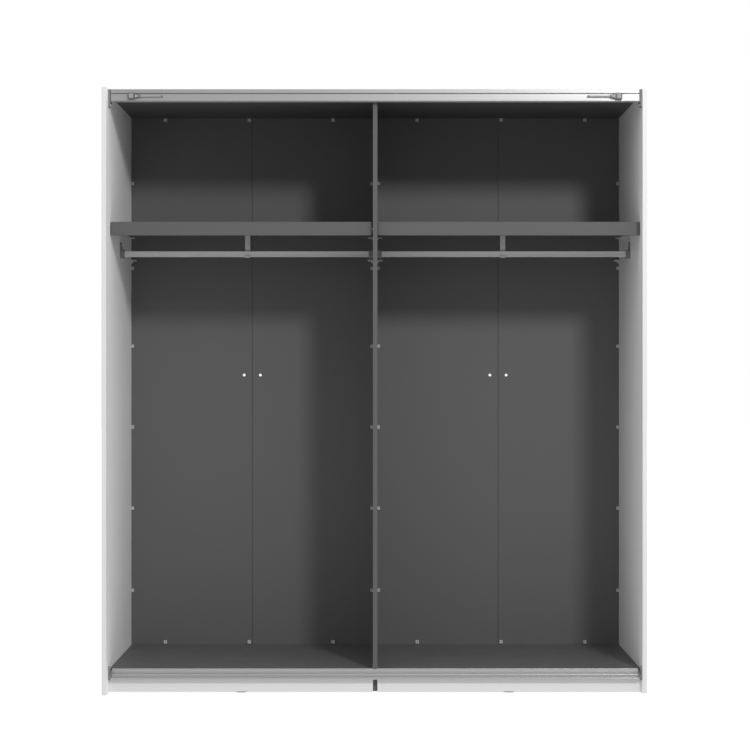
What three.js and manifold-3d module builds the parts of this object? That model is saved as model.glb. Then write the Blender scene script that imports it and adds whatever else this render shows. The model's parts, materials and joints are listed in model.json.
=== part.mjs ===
// Carcass of a two-compartment sliding door wardrobe, with its running rail, guide rail, shelves,
// clothes rails, soft-close dampers and feet. Millimetres, +Z up, front towards -Y.
// Origin: middle of the footprint, on the floor.

import * as THREE from 'three';
import { mergeVertices } from 'three/addons/utils/BufferGeometryUtils.js';
import Module from 'manifold-3d';

// ---------------------------------------------------------------- driving dimensions

const WIDTH = 1800;
const SIDE_HEIGHT = 2000;
const GLIDE_HEIGHT = 4;
const LEFT_DEPTH = 618; // reaches the outer door plane
const RIGHT_DEPTH = 580; // reaches the inner door plane
const BOARD = 15;
const BACK_THICKNESS = 3;
const BACK_INSET = 7; // from the boards' rear edges to the back panels
const GROOVE_DEPTH = 8;
const PARTITION_GROOVE_DEPTH = 5;
const EDGE = 0.8; // rounding of every board edge
const GAP = 0.3; // between pieces that touch

const TOP_RAIL_HEIGHT = 42;
const TOP_RAIL_DEPTH = 58;
const RAIL_SETBACK = 8; // rails' front faces behind the inner door plane
const RAIL_END_WIDTH = 9.4;

const PARTITION_SETBACK = 31;
const PLINTH_SETBACK = 26;
const FLOOR_SETBACK = 37;
const FLOOR_TOP = 79;
const GUIDE_BOTTOM = 47;
const GUIDE_SEAT = 55; // underside of the guide rail's rear part, on the plinth

const SHELF_TOP = 1568;
const SHELF_SETBACK = 51;
const SHELF_END_GAP = 3;
const FASCIA_HEIGHT = 45;

const CLOTHES_RAIL_Y = 22;
const CLOTHES_RAIL_Z = 1477;
const RAIL_TUBE_HEIGHT = 20;
const HANGER_X = 443;
const HANGER_WIDTH = 17.8;

const SUPPORT_REACH = 18;
const SUPPORT_FRONT_Y = -150;
const SUPPORT_REAR_Y = 262;

const BACK_HOLE_DIAMETER = 10;
const BACK_HOLE_SPACING = 58.8; // a pair astride each back seam
const BACK_HOLE_Z = 1057;

const CORNER_BRACKET_Z = 1475; // top of the brackets in the rear corners
const CORNER_BRACKET_REACH = 19;

const DAMPER_BLOCK_OUTER = 818; // from the middle to the block's outer face
const DAMPER_BLOCK_WIDTH = 21;
const DAMPER_BLOCK_HEIGHT = 21.5;
const DAMPER_NECK_LENGTH = 19;
const DAMPER_THICKNESS = 10;
const PLUNGER_DIAMETER = 6;
const PLUNGER_REACH = 73.5; // out of the neck, at rest
const PLUNGER_TRAVEL = 30;

const FOOT_X = 446;
const FOOT_DIAMETER = 44;

// ---------------------------------------------------------------- derived places

const REAR = LEFT_DEPTH / 2;
const LEFT_FRONT = -REAR;
const RIGHT_FRONT = REAR - RIGHT_DEPTH;
const BOTTOM = GLIDE_HEIGHT;
const TOP = BOTTOM + SIDE_HEIGHT;
const INNER = WIDTH / 2 - BOARD; // inner faces of the side panels
const HALF_BOARD = BOARD / 2;
const CEILING = TOP - BOARD;
const FLOOR_BOTTOM = FLOOR_TOP - BOARD;
const RAIL_FRONT = RIGHT_FRONT + RAIL_SETBACK;
const TOP_RAIL_BOTTOM = TOP - TOP_RAIL_HEIGHT;
const TOP_RAIL_BACK = RAIL_FRONT + TOP_RAIL_DEPTH;
const PARTITION_FRONT = RIGHT_FRONT + PARTITION_SETBACK;
const PLINTH_FRONT = RIGHT_FRONT + PLINTH_SETBACK;
const FLOOR_FRONT = RIGHT_FRONT + FLOOR_SETBACK;
const SHELF_FRONT = RIGHT_FRONT + SHELF_SETBACK;
const SHELF_BOTTOM = SHELF_TOP - BOARD;
const BACK_REAR = REAR - BACK_INSET;
const BACK_FRONT = BACK_REAR - BACK_THICKNESS;
const SEAM_X = (INNER + HALF_BOARD) / 2;
const SIDES = { left: -1, right: 1 };
const OVERCUT = 1; // how far cutting tools run past a face

// ---------------------------------------------------------------- materials

const finish = (color, roughness, metalness = 0) =>
  new THREE.MeshStandardMaterial({ color, roughness, metalness });

const whiteBoard = finish(0xe9e9e9, 0.45);
const graphiteBoard = finish(0x5a5a5b, 0.5);
const graphiteBack = finish(0x545455, 0.6);
const aluminium = finish(0xc4c5c6, 0.35, 0.9);
const steelTube = finish(0xb4b5b6, 0.3, 0.9);
const zinc = finish(0x9c9d9e, 0.4, 0.8);
const darkPlastic = finish(0x4b4c4e, 0.6);
const blackPlastic = finish(0x1c1c1d, 0.7);

// ---------------------------------------------------------------- solids

const wasm = await Module();
wasm.setup();

function welded(geometry) {
  const bare = geometry.clone();
  bare.deleteAttribute('normal');
  bare.deleteAttribute('uv');
  return mergeVertices(bare, 1e-4);
}

function toSolid(geometry) {
  const g = welded(geometry);
  const mesh = new wasm.Mesh({
    numProp: 3,
    vertProperties: new Float32Array(g.attributes.position.array),
    triVerts: new Uint32Array(g.index.array),
  });
  return new wasm.Manifold(mesh);
}

function toGeometry(solid) {
  const mesh = solid.getMesh();
  const g = new THREE.BufferGeometry();
  g.setAttribute('position', new THREE.BufferAttribute(new Float32Array(mesh.vertProperties), 3));
  g.setIndex(new THREE.BufferAttribute(new Uint32Array(mesh.triVerts), 1));
  return g;
}

const cut = (geometry, ...tools) =>
  toGeometry(tools.reduce((solid, tool) => solid.subtract(toSolid(tool)), toSolid(geometry)));

const join = (geometry, ...others) =>
  toGeometry(others.reduce((solid, other) => solid.add(toSolid(other)), toSolid(geometry)));

// A sharp box between two corners, for cutting tools and small blocks.
function block([x0, x1], [y0, y1], [z0, z1]) {
  const g = new THREE.BoxGeometry(x1 - x0, y1 - y0, z1 - z0);
  return g.translate((x0 + x1) / 2, (y0 + y1) / 2, (z0 + z1) / 2);
}

// Directions of a flat outline's own axes and of its extrusion, by the axis it is extruded along.
const FRAMES = {
  x: [new THREE.Vector3(0, 1, 0), new THREE.Vector3(0, 0, 1), new THREE.Vector3(1, 0, 0)],
  y: [new THREE.Vector3(0, 0, 1), new THREE.Vector3(1, 0, 0), new THREE.Vector3(0, 1, 0)],
  z: [new THREE.Vector3(1, 0, 0), new THREE.Vector3(0, 1, 0), new THREE.Vector3(0, 0, 1)],
};

// Extrudes a shape along an axis, from one place to another. Along x the shape is drawn in (y, z),
// along y in (z, x) and along z in (x, y). A bevel rounds the edges within the stated size.
function extrude(shape, axis, [from, to], bevel = 0) {
  const g = new THREE.ExtrudeGeometry(shape, {
    depth: to - from - 2 * bevel,
    bevelEnabled: bevel > 0,
    bevelThickness: bevel,
    bevelSize: bevel,
    bevelOffset: -bevel,
    bevelSegments: 2,
    curveSegments: 4,
  });
  g.translate(0, 0, from + bevel);
  g.applyMatrix4(new THREE.Matrix4().makeBasis(...FRAMES[axis]));
  return g;
}

const outline = (points) => new THREE.Shape(points.map(([u, v]) => new THREE.Vector2(u, v)));

const rectangle = ([u0, u1], [v0, v1]) => outline([[u0, v0], [u1, v0], [u1, v1], [u0, v1]]);

// A rectangle with round corners.
function roundedRectangle([u0, u1], [v0, v1], r) {
  const s = new THREE.Shape();
  s.moveTo(u0 + r, v0);
  s.lineTo(u1 - r, v0);
  s.absarc(u1 - r, v0 + r, r, -Math.PI / 2, 0, false);
  s.lineTo(u1, v1 - r);
  s.absarc(u1 - r, v1 - r, r, 0, Math.PI / 2, false);
  s.lineTo(u0 + r, v1);
  s.absarc(u0 + r, v1 - r, r, Math.PI / 2, Math.PI, false);
  s.lineTo(u0, v0 + r);
  s.absarc(u0 + r, v0 + r, r, Math.PI, 1.5 * Math.PI, false);
  return s;
}

// A board with softly rounded edges. Its thickness lies along the named axis.
function board(xs, ys, zs, axis) {
  const spans = { x: [ys, zs, xs], y: [zs, xs, ys], z: [xs, ys, zs] }[axis];
  return extrude(rectangle(spans[0], spans[1]), axis, spans[2], EDGE);
}

// A turned piece about a line through a point. The profile is [radius, place along the axis].
function turned(profile, axis, [x, y, z], segments = 24) {
  const points = profile.map(([r, h]) => new THREE.Vector2(r, h));
  const g = new THREE.LatheGeometry(points, segments);
  if (axis === 'x') g.rotateZ(-Math.PI / 2);
  if (axis === 'z') g.rotateX(Math.PI / 2);
  return g.translate(x, y, z);
}

const rod = (radius, [from, to], axis, at, segments = 16) =>
  turned([[0, from], [radius, from], [radius, to], [0, to]], axis, at, segments);

const wardrobe = new THREE.Group();

function add(name, geometry, material) {
  const mesh = new THREE.Mesh(geometry, material);
  mesh.name = name;
  wardrobe.add(mesh);
}

// The span from the partition's face to the side panel's face in one compartment.
const compartment = (sign, atSide = GAP, atPartition = GAP) => {
  const ends = [sign * (HALF_BOARD + atPartition), sign * (INNER - atSide)];
  return ends.sort((a, b) => a - b);
};

// The two panel faces that bound a compartment, each with its place and the way into the space.
const panelFaces = (sign) => [
  ['side', sign * INNER, -sign],
  ['partition', sign * HALF_BOARD, sign],
];

// The span between two distances off a face, on the side that the direction names.
const offFace = (face, towards, from, to) =>
  [face + towards * from, face + towards * to].sort((a, b) => a - b);

// ---------------------------------------------------------------- boards

const BACK_GROOVE = [BACK_FRONT - GAP, BACK_REAR + GAP];
const GROOVE_ENDS = [FLOOR_TOP - GROOVE_DEPTH, CEILING + GROOVE_DEPTH];
const SUPPORT_Z = SHELF_BOTTOM - 4;
const SUPPORT_PIN_RADIUS = 2.5;
const SUPPORT_BORE_DEPTH = 7;

// Bores for the shelf supports' pins, into the board behind a face.
const supportBores = (face, inwards) => [SUPPORT_FRONT_Y, SUPPORT_REAR_Y].map((y) => rod(
  SUPPORT_PIN_RADIUS + GAP,
  offFace(face, inwards, -OVERCUT, SUPPORT_BORE_DEPTH),
  'x',
  [0, y, SUPPORT_Z],
  12,
));

for (const [side, sign] of Object.entries(SIDES)) {
  const front = sign < 0 ? LEFT_FRONT : RIGHT_FRONT;
  const panel = board(offFace(sign * INNER, sign, 0, BOARD), [front, REAR], [BOTTOM, TOP], 'x');
  const groove = block(offFace(sign * INNER, sign, -OVERCUT, GROOVE_DEPTH), BACK_GROOVE, GROOVE_ENDS);
  add(`side_panel_${side}`, cut(panel, groove, ...supportBores(sign * INNER, sign)), whiteBoard);
}

// The partition stands on the floor between the plinth halves, set back from their faces, and is
// notched round both rails.
const partitionOutline = outline([
  [REAR, BOTTOM],
  [REAR, TOP],
  [TOP_RAIL_BACK + GAP, TOP],
  [TOP_RAIL_BACK + GAP, TOP_RAIL_BOTTOM - GAP],
  [PARTITION_FRONT, TOP_RAIL_BOTTOM - GAP],
  [PARTITION_FRONT, FLOOR_TOP + 2],
  [FLOOR_FRONT + GAP, FLOOR_TOP + 2],
  [FLOOR_FRONT + GAP, BOTTOM],
]);
const partition = cut(
  extrude(partitionOutline, 'x', [-HALF_BOARD, HALF_BOARD], EDGE),
  ...[-1, 1].flatMap((sign) => {
    const face = sign * HALF_BOARD;
    const grooveX = offFace(face, -sign, -OVERCUT, PARTITION_GROOVE_DEPTH);
    return [block(grooveX, BACK_GROOVE, GROOVE_ENDS), ...supportBores(face, -sign)];
  }),
);
add('centre_partition', partition, graphiteBoard);

for (const [side, sign] of Object.entries(SIDES)) {
  const span = compartment(sign);
  const top = board(span, [TOP_RAIL_BACK + GAP, REAR], [CEILING, TOP], 'z');
  const past = [span[0] - OVERCUT, span[1] + OVERCUT];
  const topGroove = block(past, BACK_GROOVE, [CEILING - OVERCUT, GROOVE_ENDS[1]]);
  add(`top_panel_${side}`, cut(top, topGroove), graphiteBoard);

  const floor = board(span, [FLOOR_FRONT, REAR], [FLOOR_BOTTOM, FLOOR_TOP], 'z');
  const floorGroove = block(past, BACK_GROOVE, [GROOVE_ENDS[0], FLOOR_TOP + OVERCUT]);
  add(`floor_panel_${side}`, cut(floor, floorGroove), graphiteBoard);

  const plinthY = [PLINTH_FRONT, PLINTH_FRONT + BOARD];
  const plinth = board(span, plinthY, [BOTTOM, FLOOR_BOTTOM - GAP], 'y');
  const railSeat = block(past, [PLINTH_FRONT - OVERCUT, FLOOR_FRONT + GAP],
    [GUIDE_SEAT - GAP, FLOOR_BOTTOM + OVERCUT]);
  add(`plinth_${side}`, cut(plinth, railSeat), whiteBoard);
}

// ---------------------------------------------------------------- back

// Two thin panels per compartment meet on a seam, which a strip covers from behind. Each panel
// has one open hole beside the seam.
const SEAM_HALF_GAP = 0.6;
const STRIP_WIDTH = 40;
const STRIP_THICKNESS = 2;
const STRIP_END_GAP = 1;
const CORNER_BRACKET_DEPTH = 16;
const CORNER_BRACKET_THICKNESS = 6;
const CORNER_GUSSET = { height: 7, foot: 5, head: 7, setback: 5 };

// A small gusseted bracket in a rear corner, which holds the back panel against the board.
function cornerBracket(face, towards) {
  const rear = BACK_FRONT - GAP;
  const front = rear - CORNER_BRACKET_DEPTH;
  const under = CORNER_BRACKET_Z - CORNER_BRACKET_THICKNESS;
  const root = face + towards * GAP;
  const tab = block(
    offFace(face, towards, GAP, CORNER_BRACKET_REACH),
    [front, rear],
    [under, CORNER_BRACKET_Z],
  );
  const gusset = extrude(outline([
    [under + OVERCUT, root],
    [under - CORNER_GUSSET.height, root],
    [under - CORNER_GUSSET.height, face + towards * CORNER_GUSSET.foot],
    [under + OVERCUT, face + towards * CORNER_GUSSET.head],
  ]), 'y', [front + CORNER_GUSSET.setback, rear]);
  return join(tab, gusset);
}

for (const [side, sign] of Object.entries(SIDES)) {
  const seam = sign * SEAM_X;
  const backZ = [GROOVE_ENDS[0] + GAP, GROOVE_ENDS[1] - GAP];
  const outerEnd = sign * (INNER + GROOVE_DEPTH - GAP);
  const innerEnd = sign * (HALF_BOARD - PARTITION_GROOVE_DEPTH + GAP);
  for (const [place, end, away] of [['outer', outerEnd, sign], ['inner', innerEnd, -sign]]) {
    const span = [seam + away * SEAM_HALF_GAP, end].sort((a, b) => a - b);
    const panel = block(span, [BACK_FRONT, BACK_REAR], backZ);
    const hole = rod(
      BACK_HOLE_DIAMETER / 2,
      [BACK_FRONT - OVERCUT, BACK_REAR + OVERCUT],
      'y',
      [seam + (away * BACK_HOLE_SPACING) / 2, 0, BACK_HOLE_Z],
    );
    add(`back_panel_${side}_${place}`, cut(panel, hole), graphiteBack);
  }

  const strip = board(
    [seam - STRIP_WIDTH / 2, seam + STRIP_WIDTH / 2],
    [BACK_REAR + GAP, BACK_REAR + GAP + STRIP_THICKNESS],
    [FLOOR_TOP + STRIP_END_GAP, CEILING - STRIP_END_GAP],
    'y',
  );
  add(`seam_strip_${side}`, strip, graphiteBack);

  for (const [place, face, towards] of panelFaces(sign)) {
    add(`corner_bracket_${side}_${place}`, cornerBracket(face, towards), zinc);
  }
}

// ---------------------------------------------------------------- shelves

const FASCIA_THICKNESS = 15;
const SHELF_REAR_GAP = 2;
const SUPPORT_WIDTH = 16;
const SUPPORT_TAB = 3;
const SUPPORT_RIB = { height: 5, reach: 6, thickness: 4 };

// Each support has a pin in the panel and a flat tab with a short rib, which the shelf lies on.
function shelfSupport(face, towards, y) {
  const top = SHELF_BOTTOM - GAP;
  const under = top - SUPPORT_TAB;
  const root = face + towards * GAP;
  const tab = block(
    offFace(face, towards, GAP, SUPPORT_REACH),
    [y - SUPPORT_WIDTH / 2, y + SUPPORT_WIDTH / 2],
    [under, top],
  );
  const rib = extrude(outline([
    [under + OVERCUT, root],
    [under - SUPPORT_RIB.height, root],
    [under - SUPPORT_RIB.height, root + towards],
    [under + OVERCUT, root + towards * SUPPORT_RIB.reach],
  ]), 'y', [y - SUPPORT_RIB.thickness / 2, y + SUPPORT_RIB.thickness / 2]);
  const pin = rod(
    SUPPORT_PIN_RADIUS,
    offFace(face, towards, 1 - SUPPORT_BORE_DEPTH, GAP + 2),
    'x',
    [0, y, SUPPORT_Z],
    12,
  );
  return join(tab, rib, pin);
}

for (const [side, sign] of Object.entries(SIDES)) {
  const span = compartment(sign, SHELF_END_GAP, SHELF_END_GAP);
  const fasciaBack = SHELF_FRONT + FASCIA_THICKNESS;
  const fascia = board(span, [SHELF_FRONT, fasciaBack], [SHELF_TOP - FASCIA_HEIGHT, SHELF_TOP], 'y');
  add(`shelf_fascia_${side}`, fascia, graphiteBoard);
  const depth = [fasciaBack + GAP, BACK_FRONT - SHELF_REAR_GAP];
  add(`shelf_board_${side}`, board(span, depth, [SHELF_BOTTOM, SHELF_TOP], 'z'), graphiteBoard);

  for (const [place, face, towards] of panelFaces(sign)) {
    const support = (y) => shelfSupport(face, towards, y);
    add(`shelf_support_${side}_${place}_front`, support(SUPPORT_FRONT_Y), zinc);
    add(`shelf_support_${side}_${place}_rear`, support(SUPPORT_REAR_Y), zinc);
  }
}

// ---------------------------------------------------------------- clothes rails

const RAIL_HALF_HEIGHT = RAIL_TUBE_HEIGHT / 2;
const RAIL_HALF_WIDTH = 6;
const FLARE = 1.3; // how far the rail's foot stands out of its flat sides
const FLARE_HEIGHT = 5;
const TUBE_WALL = 1.4;
const SOCKET_DEPTH = 15.4;
const SOCKET_PLATE = 4;
const CUP_RISE = 15.5; // from the rail's middle to the cup's rim
const EARS = { side: 40, partition: 17 }; // from the rail's middle to the plate's top
const EAR_SCREW = 8; // from the plate's top to the screw hole

// A flat-sided tube with a softly rounded top, and sides that flare out to a wider foot.
function railSection() {
  const s = new THREE.Shape();
  const y = CLOTHES_RAIL_Y;
  const z = CLOTHES_RAIL_Z;
  const foot = z - RAIL_HALF_HEIGHT;
  const head = z + RAIL_HALF_HEIGHT;
  const wide = RAIL_HALF_WIDTH + FLARE;
  const round = 2;
  s.moveTo(y - wide + 1, foot);
  s.lineTo(y + wide - 1, foot);
  s.lineTo(y + wide, foot + 1);
  s.lineTo(y + RAIL_HALF_WIDTH, foot + FLARE_HEIGHT);
  s.lineTo(y + RAIL_HALF_WIDTH, head - round);
  s.absarc(y + RAIL_HALF_WIDTH - round, head - round, round, 0, Math.PI / 2, false);
  s.lineTo(y - RAIL_HALF_WIDTH + round, head);
  s.absarc(y - RAIL_HALF_WIDTH + round, head - round, round, Math.PI / 2, Math.PI, false);
  s.lineTo(y - RAIL_HALF_WIDTH, foot + FLARE_HEIGHT);
  s.lineTo(y - wide, foot + 1);
  const inner = RAIL_HALF_WIDTH - TUBE_WALL;
  s.holes.push(roundedRectangle(
    [y - inner, y + inner],
    [foot + TUBE_WALL, head - TUBE_WALL],
    round,
  ));
  return s;
}

// The end socket: a plate on the panel, and a cup that the rail's end drops into from above.
function railSocket(face, towards, ear) {
  const y = CLOTHES_RAIL_Y;
  const z = CLOTHES_RAIL_Z;
  const across = (from, to) => offFace(face, towards, from, to);
  const plateBottom = z - RAIL_HALF_HEIGHT - 5;
  const plate = extrude(
    roundedRectangle([y - 14, y + 14], [plateBottom, z + ear], 8),
    'x',
    across(GAP, SOCKET_PLATE),
  );
  const cup = extrude(
    roundedRectangle([y - 11.5, y + 11.5], [plateBottom, z + CUP_RISE], 6),
    'x',
    across(SOCKET_PLATE - 1, SOCKET_DEPTH),
  );
  const mouth = extrude(
    rectangle([y - RAIL_HALF_WIDTH - FLARE - GAP, y + RAIL_HALF_WIDTH + FLARE + GAP],
      [z - RAIL_HALF_HEIGHT - GAP, z + CUP_RISE + OVERCUT]),
    'x',
    across(SOCKET_PLATE, SOCKET_DEPTH + 1),
  );
  const screwHole = rod(2.2, [-10, 10], 'x', [face, y, z + ear - EAR_SCREW], 12);
  return cut(join(plate, cup), mouth, screwHole);
}

const HANGER_WALL = 2.6;
const HANGER_FOOT = 34; // length of the strap's foot under the shelf

// The middle support: a strap screwed under the shelf, which steps back over the rail, passes
// behind it and cups it.
function railHanger(x) {
  const y = CLOTHES_RAIL_Y;
  const wall = HANGER_WALL;
  const foot = CLOTHES_RAIL_Z - RAIL_HALF_HEIGHT;
  const lip = foot + FLARE_HEIGHT;
  const clear = RAIL_HALF_WIDTH + FLARE + GAP;
  const ceiling = SHELF_BOTTOM - GAP;
  const step = CLOTHES_RAIL_Z + RAIL_HALF_HEIGHT + 7.5;
  const face = y - 2;
  const section = outline([
    [y - clear - wall, lip],
    [y - clear - wall, foot - GAP - wall],
    [y + clear + wall, foot - GAP - wall],
    [y + clear + wall, step + wall],
    [face + wall, step + wall],
    [face + wall, ceiling - wall],
    [face + HANGER_FOOT, ceiling - wall],
    [face + HANGER_FOOT, ceiling],
    [face, ceiling],
    [face, step],
    [y + clear, step],
    [y + clear, foot - GAP],
    [y - clear, foot - GAP],
    [y - clear, lip],
  ]);
  return extrude(section, 'x', [x - HANGER_WIDTH / 2, x + HANGER_WIDTH / 2]);
}

for (const [side, sign] of Object.entries(SIDES)) {
  const tube = extrude(railSection(), 'x', compartment(sign, SOCKET_PLATE + GAP, SOCKET_PLATE + GAP));
  add(`clothes_rail_${side}`, tube, steelTube);
  add(`rail_socket_${side}_side`, railSocket(sign * INNER, -sign, EARS.side), darkPlastic);
  add(`rail_socket_${side}_partition`, railSocket(sign * HALF_BOARD, sign, EARS.partition), darkPlastic);
  add(`rail_hanger_${side}`, railHanger(sign * HANGER_X), zinc);
}

// ---------------------------------------------------------------- running rail and guide rail

const DECK = 31.5; // height of the roller tracks' floor above the rail's foot
const DECK_THICKNESS = 2.4;
const RAIL_WALL = 2.6;
const RAIL_ROUND = 1.2; // of the front wall's upper edge
const FOOT_STEP = { height: 3.2, depth: 8 }; // how far the rail's foot steps back under its face
const SHADOW_GROOVE = { bottom: 25.7, top: 29.1, depth: 8 };
const TRACK_MIDDLES = [15, 41]; // from the rail's front to its running beads
const TRACK_DIVIDER = 27; // from the rail's front to the wall between the tracks
const BEAD_RADIUS = 3;
const FLANGE_FOOT = 14; // lower edge of the rear flange above the rail's foot

// A front face with a shadow groove and a foot that is stepped back, two roller tracks on top,
// each with a round running bead, and a rear flange that is screwed to the top panels.
function topRailSection() {
  const s = new THREE.Shape();
  const y = (u) => RAIL_FRONT + u;
  const z = (w) => TOP_RAIL_BOTTOM + w;
  const to = (u, w) => s.lineTo(y(u), z(w));
  const bead = (u) => {
    to(u + BEAD_RADIUS, DECK);
    to(u + BEAD_RADIUS, DECK + BEAD_RADIUS);
    s.absarc(y(u), z(DECK + BEAD_RADIUS), BEAD_RADIUS, 0, Math.PI, false);
    to(u - BEAD_RADIUS, DECK);
  };
  const inBack = TOP_RAIL_DEPTH - RAIL_WALL;
  const inGroove = SHADOW_GROOVE.depth + RAIL_WALL;
  const inStep = FOOT_STEP.depth + RAIL_WALL;
  const stepFloor = FOOT_STEP.height + RAIL_WALL;
  s.moveTo(y(FOOT_STEP.depth), z(0));
  to(inStep, 0);
  to(inStep, stepFloor);
  to(RAIL_WALL, stepFloor);
  to(RAIL_WALL, SHADOW_GROOVE.bottom - RAIL_WALL);
  to(inGroove, SHADOW_GROOVE.bottom - RAIL_WALL);
  to(inGroove, DECK - DECK_THICKNESS);
  to(inBack, DECK - DECK_THICKNESS);
  to(inBack, FLANGE_FOOT);
  to(TOP_RAIL_DEPTH, FLANGE_FOOT);
  to(TOP_RAIL_DEPTH, TOP_RAIL_HEIGHT);
  to(inBack, TOP_RAIL_HEIGHT);
  to(inBack, DECK);
  bead(TRACK_MIDDLES[1]);
  to(TRACK_DIVIDER + RAIL_WALL, DECK);
  to(TRACK_DIVIDER + RAIL_WALL, TOP_RAIL_HEIGHT);
  to(TRACK_DIVIDER, TOP_RAIL_HEIGHT);
  to(TRACK_DIVIDER, DECK);
  bead(TRACK_MIDDLES[0]);
  to(RAIL_WALL, DECK);
  to(RAIL_WALL, TOP_RAIL_HEIGHT);
  to(RAIL_ROUND, TOP_RAIL_HEIGHT);
  s.absarc(y(RAIL_ROUND), z(TOP_RAIL_HEIGHT - RAIL_ROUND), RAIL_ROUND, Math.PI / 2, Math.PI, false);
  to(0, SHADOW_GROOVE.top);
  to(SHADOW_GROOVE.depth, SHADOW_GROOVE.top);
  to(SHADOW_GROOVE.depth, SHADOW_GROOVE.bottom);
  to(0, SHADOW_GROOVE.bottom);
  to(0, FOOT_STEP.height);
  to(FOOT_STEP.depth, FOOT_STEP.height);
  return s;
}

const railEnd = INNER - RAIL_END_WIDTH - GAP;
add('top_running_rail', extrude(topRailSection(), 'x', [-railEnd, railEnd]), aluminium);

// Three ribs rise like steps from the front to the floor. The doors' guides run between them.
const RIB_HALF = 1.4;
const RIBS = [
  { y: FLOOR_FRONT - GAP - RIB_HALF, top: FLOOR_TOP + 0.5 },
  { y: RAIL_FRONT + 13.5, top: 63.5 },
  { y: RAIL_FRONT + RIB_HALF, top: GUIDE_BOTTOM + 6.6 },
];
const GUIDE_FLOORS = [GUIDE_SEAT + 5, GUIDE_BOTTOM + 1.8];
const LEDGE = { top: 72.5, depth: 1.8 }; // the rear rib is thicker below its ledge

function guideRailSection() {
  const s = new THREE.Shape();
  const back = FLOOR_FRONT - GAP;
  s.moveTo(RAIL_FRONT, GUIDE_BOTTOM);
  s.lineTo(PLINTH_FRONT - GAP, GUIDE_BOTTOM);
  s.lineTo(PLINTH_FRONT - GAP, GUIDE_SEAT);
  s.lineTo(back, GUIDE_SEAT);
  RIBS.forEach((rib, i) => {
    if (i > 0) s.lineTo(rib.y + RIB_HALF, GUIDE_FLOORS[i - 1]);
    s.lineTo(rib.y + RIB_HALF, rib.top - RIB_HALF);
    s.absarc(rib.y, rib.top - RIB_HALF, RIB_HALF, 0, Math.PI, false);
    const ledge = i === 0 ? LEDGE.depth : 0;
    if (ledge > 0) {
      s.lineTo(rib.y - RIB_HALF, LEDGE.top);
      s.lineTo(rib.y - RIB_HALF - ledge, LEDGE.top - ledge / 2);
    }
    if (i < GUIDE_FLOORS.length) s.lineTo(rib.y - RIB_HALF - ledge, GUIDE_FLOORS[i]);
  });
  return s;
}
add('bottom_guide_rail', extrude(guideRailSection(), 'x', [-railEnd, railEnd]), aluminium);

// Both rails are held at their ends by brackets that are screwed to the side panels.
const BRACKET_PLATE = 4.5; // thickness of the plate against the side panel
const CAP_DEPTH = 8;
const CAP_WIDTH = 6.2;
const LIP_DEPTH = 3; // of the set-back lip between the cap and the rail's end
const TOP_EAR = { drop: 18, depth: 26 };
const GUIDE_EAR = { bottom: 44, top: 90, depth: 16 };

// A plate with a round ear under the rail, and a cap with a set-back lip at the rail's end.
function topRailBracket(sign) {
  const across = (from, to) => offFace(sign * INNER, -sign, from, to);
  const y0 = RAIL_FRONT - 1;
  const capZ = [TOP_RAIL_BOTTOM - 0.5, TOP];
  const cap = extrude(rectangle([y0, y0 + CAP_DEPTH], capZ), 'x', across(GAP, CAP_WIDTH), 0.6);
  const lipY = [y0 + CAP_DEPTH - LIP_DEPTH, y0 + CAP_DEPTH];
  const lip = block(across(CAP_WIDTH - OVERCUT, RAIL_END_WIDTH), lipY, capZ);
  const plate = block(across(GAP, BRACKET_PLATE), [y0 + 1, TOP_RAIL_BACK], [TOP_RAIL_BOTTOM, TOP - 1]);
  const ear = extrude(
    roundedRectangle([y0, y0 + TOP_EAR.depth], [TOP_RAIL_BOTTOM - TOP_EAR.drop, TOP_RAIL_BOTTOM + 10], 6),
    'x',
    across(GAP, BRACKET_PLATE + 1),
  );
  const screwHole = rod(2.4, [-20, 20], 'x',
    [sign * INNER, y0 + TOP_EAR.depth / 2, TOP_RAIL_BOTTOM - TOP_EAR.drop / 2], 12);
  return cut(join(cap, lip, plate, ear), screwHole);
}

// An upright plate with round ends, and a stepped cap over the end of the guide rail.
function guideRailBracket(sign) {
  const across = (from, to) => offFace(sign * INNER, -sign, from, to);
  const y0 = RAIL_FRONT - 1;
  const back = FLOOR_FRONT - GAP;
  const plate = extrude(
    roundedRectangle([y0, PLINTH_FRONT - GAP], [GUIDE_EAR.bottom, GUIDE_EAR.top], 6),
    'x',
    across(GAP, BRACKET_PLATE),
  );
  const cap = extrude(outline([
    [y0 + 1, GUIDE_BOTTOM + 5],
    [PLINTH_FRONT - GAP, GUIDE_BOTTOM + 5],
    [PLINTH_FRONT - GAP, GUIDE_SEAT],
    [back, GUIDE_SEAT],
    [back, FLOOR_TOP - 5],
    [back - 4, FLOOR_TOP - 5],
    [y0 + 1, GUIDE_SEAT + 8],
  ]), 'x', across(GAP, RAIL_END_WIDTH), 0.5);
  return join(plate, cap);
}

for (const [side, sign] of Object.entries(SIDES)) {
  add(`top_rail_bracket_${side}`, topRailBracket(sign), darkPlastic);
  add(`guide_rail_bracket_${side}`, guideRailBracket(sign), darkPlastic);
}

// ---------------------------------------------------------------- soft-close dampers

const DAMPER_Z = TOP_RAIL_BOTTOM + 18;
const DAMPER_Y = RAIL_FRONT - GAP - DAMPER_THICKNESS / 2;
const NECK_END = DAMPER_BLOCK_OUTER - DAMPER_BLOCK_WIDTH - DAMPER_NECK_LENGTH;
const BORE_CLOSED_END = 2;
const BUFFER_RISE = 0.3; // how far the plunger's head stands out of its rod
const DAMPER_MOUTH = 9.2; // height of the neck at the cylinder's mouth

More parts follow.
